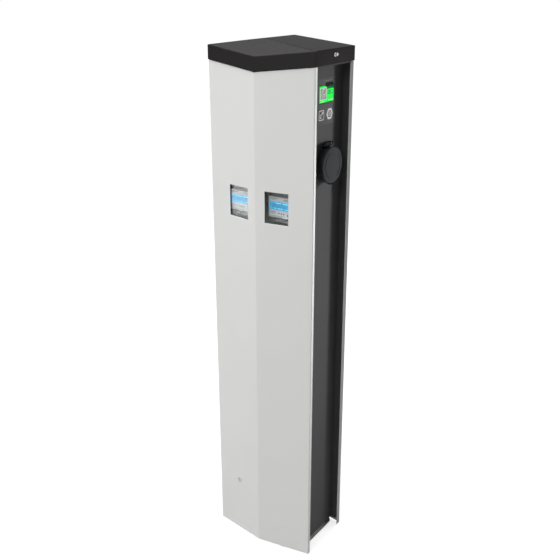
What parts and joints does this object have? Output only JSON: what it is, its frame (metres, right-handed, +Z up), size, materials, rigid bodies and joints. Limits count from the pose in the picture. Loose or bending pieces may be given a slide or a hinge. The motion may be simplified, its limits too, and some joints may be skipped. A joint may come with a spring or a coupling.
{
  "type": "ev charging post",
  "caption": "Tall slim street charging post with creased white covers, meter windows, faceted dark cap and a lidded vehicle socket under a display in each side.",
  "frame": {"origin": "on the ground under the middle of the base plate", "axes": "+Z up, +X to the right seen from the front, -Y out of the front cover"},
  "size_m": [0.3246, 0.2358, 1.46],
  "materials": {
    "cover_paint": "white powder coat, fine satin texture",
    "channel_paint": "anthracite powder coat, satin",
    "cap_plastic": "moulded, fine matt grain",
    "zinc_steel": "galvanised sheet steel",
    "bare_steel": "bright zinc plated",
    "spring_steel": "drawn spring wire",
    "lock_metal": "black lock insert",
    "socket_plastic": "black moulded plastic",
    "lid_plastic": "anthracite moulded plastic",
    "gasket_rubber": "soft black seal",
    "pane_clear": "clear polycarbonate",
    "panel_face": "smooth dark foil",
    "screen_glass": "lit display behind glass",
    "board_green": "coated circuit board",
    "device_grey": "light grey moulded case",
    "device_white": "white grey moulded case",
    "device_dark": "dark grey moulded case",
    "meter_lens": "blue display lens",
    "lever_black": "black moulded lever",
    "button_yellow": "yellow moulded button",
    "button_grey": "grey moulded button",
    "contact_brass": "turned brass",
    "badge_white": "printed white",
    "terminal_beige": "beige moulded terminal",
    "controller_blue": "blue grey moulded case"
  },
  "bodies": {
    "post": {"antenna": "socket_plastic", "base_plate": "zinc_steel", "breaker_left": "device_white", "breaker_right": "device_white", "cable_clamps": "zinc_steel", "cap": "cap_plastic", "cap_badges": "badge_white", "card_readers": "board_green", "contactor_left": "device_dark", "contactor_right": "device_dark", "controller_left": "controller_blue", "controller_right": "controller_blue", "cover_dowels": "bare_steel", "cross_rails": "zinc_steel", "din_rails": "bare_steel", "earth_bar": "contact_brass", "fixing_screws": "bare_steel", "foot_brackets": "zinc_steel", "latch_motor_left": "device_dark", "latch_motor_right": "device_dark", "lid_hinge_pins": "bare_steel", "lid_springs": "spring_steel", "lock_receptacle": "bare_steel", "meter_display_left": "meter_lens", "meter_display_right": "meter_lens", "meter_left": "device_grey", "meter_right": "device_grey", "mounting_plate": "zinc_steel", "panel_left": "panel_face", "panel_right": "panel_face", "power_supply": "device_dark", "rear_cover": "cover_paint", "screen_left": "screen_glass", "screen_right": "screen_glass", "side_channel_left": "channel_paint", "side_channel_right": "channel_paint", "socket_contacts_left": "contact_brass", "socket_contacts_right": "contact_brass", "socket_housing_left": "socket_plastic", "socket_housing_right": "socket_plastic", "surge_arrester": "device_grey", "terminal_blocks": "terminal_beige", "top_plate": "channel_paint"},
    "cover": {"front_cover": "cover_paint", "window_pane_left": "pane_clear", "window_pane_right": "pane_clear", "window_gaskets": "gasket_rubber"},
    "lock": {"cover_lock": "lock_metal"},
    "lid_left": {"socket_lid_left": "lid_plastic", "lid_gasket_left": "gasket_rubber"},
    "latch_left": {"latch_pin_left": "bare_steel"},
    "lever_left": {"breaker_lever_left": "lever_black"},
    "test_left": {"test_button_left": "button_yellow"},
    "scroll_left": {"meter_button_left": "button_grey"},
    "lid_right": {"socket_lid_right": "lid_plastic", "lid_gasket_right": "gasket_rubber"},
    "latch_right": {"latch_pin_right": "bare_steel"},
    "lever_right": {"breaker_lever_right": "lever_black"},
    "test_right": {"test_button_right": "button_yellow"},
    "scroll_right": {"meter_button_right": "button_grey"}
  },
  "joints": [
    {"name": "cover_pull", "type": "slide", "parent": "post", "child": "cover", "axis": [0, -1, 0], "range_m": [0, 0.3]},
    {"name": "lock_turn", "type": "hinge", "parent": "cover", "child": "lock", "pos_m": [-0.077, -0.1, 0.179], "axis": [0, 1, 0], "range_deg": [0, 90]},
    {"name": "lid_hinge_left", "type": "hinge", "parent": "post", "child": "lid_left", "pos_m": [-0.147, 0, 1.206], "axis": [0, 1, 0], "range_deg": [0, 105], "stiffness_Nm_per_rad": 0.03, "springref_deg": -34.38},
    {"name": "latch_slide_left", "type": "slide", "parent": "post", "child": "latch_left", "axis": [0, 0, -1], "range_m": [0, 0.005]},
    {"name": "lever_hinge_left", "type": "hinge", "parent": "post", "child": "lever_left", "pos_m": [-0.0623, -0.0775, 0.93], "axis": [1, 0, 0], "range_deg": [0, 50]},
    {"name": "test_press_left", "type": "slide", "parent": "post", "child": "test_left", "axis": [0, 1, 0], "range_m": [0, 0.0015], "stiffness_N_per_m": 300, "springref_m": -0.001},
    {"name": "scroll_press_left", "type": "slide", "parent": "post", "child": "scroll_left", "axis": [0, 1, 0], "range_m": [0, 0.0015], "stiffness_N_per_m": 300, "springref_m": -0.001},
    {"name": "lid_hinge_right", "type": "hinge", "parent": "post", "child": "lid_right", "pos_m": [0.147, 0, 1.206], "axis": [0, -1, 0], "range_deg": [0, 105], "stiffness_Nm_per_rad": 0.03, "springref_deg": -34.38},
    {"name": "latch_slide_right", "type": "slide", "parent": "post", "child": "latch_right", "axis": [0, 0, -1], "range_m": [0, 0.005]},
    {"name": "lever_hinge_right", "type": "hinge", "parent": "post", "child": "lever_right", "pos_m": [0.0623, -0.0775, 0.93], "axis": [1, 0, 0], "range_deg": [0, 50]},
    {"name": "test_press_right", "type": "slide", "parent": "post", "child": "test_right", "axis": [0, 1, 0], "range_m": [0, 0.0015], "stiffness_N_per_m": 300, "springref_m": -0.001},
    {"name": "scroll_press_right", "type": "slide", "parent": "post", "child": "scroll_right", "axis": [0, 1, 0], "range_m": [0, 0.0015], "stiffness_N_per_m": 300, "springref_m": -0.001}
  ]
}
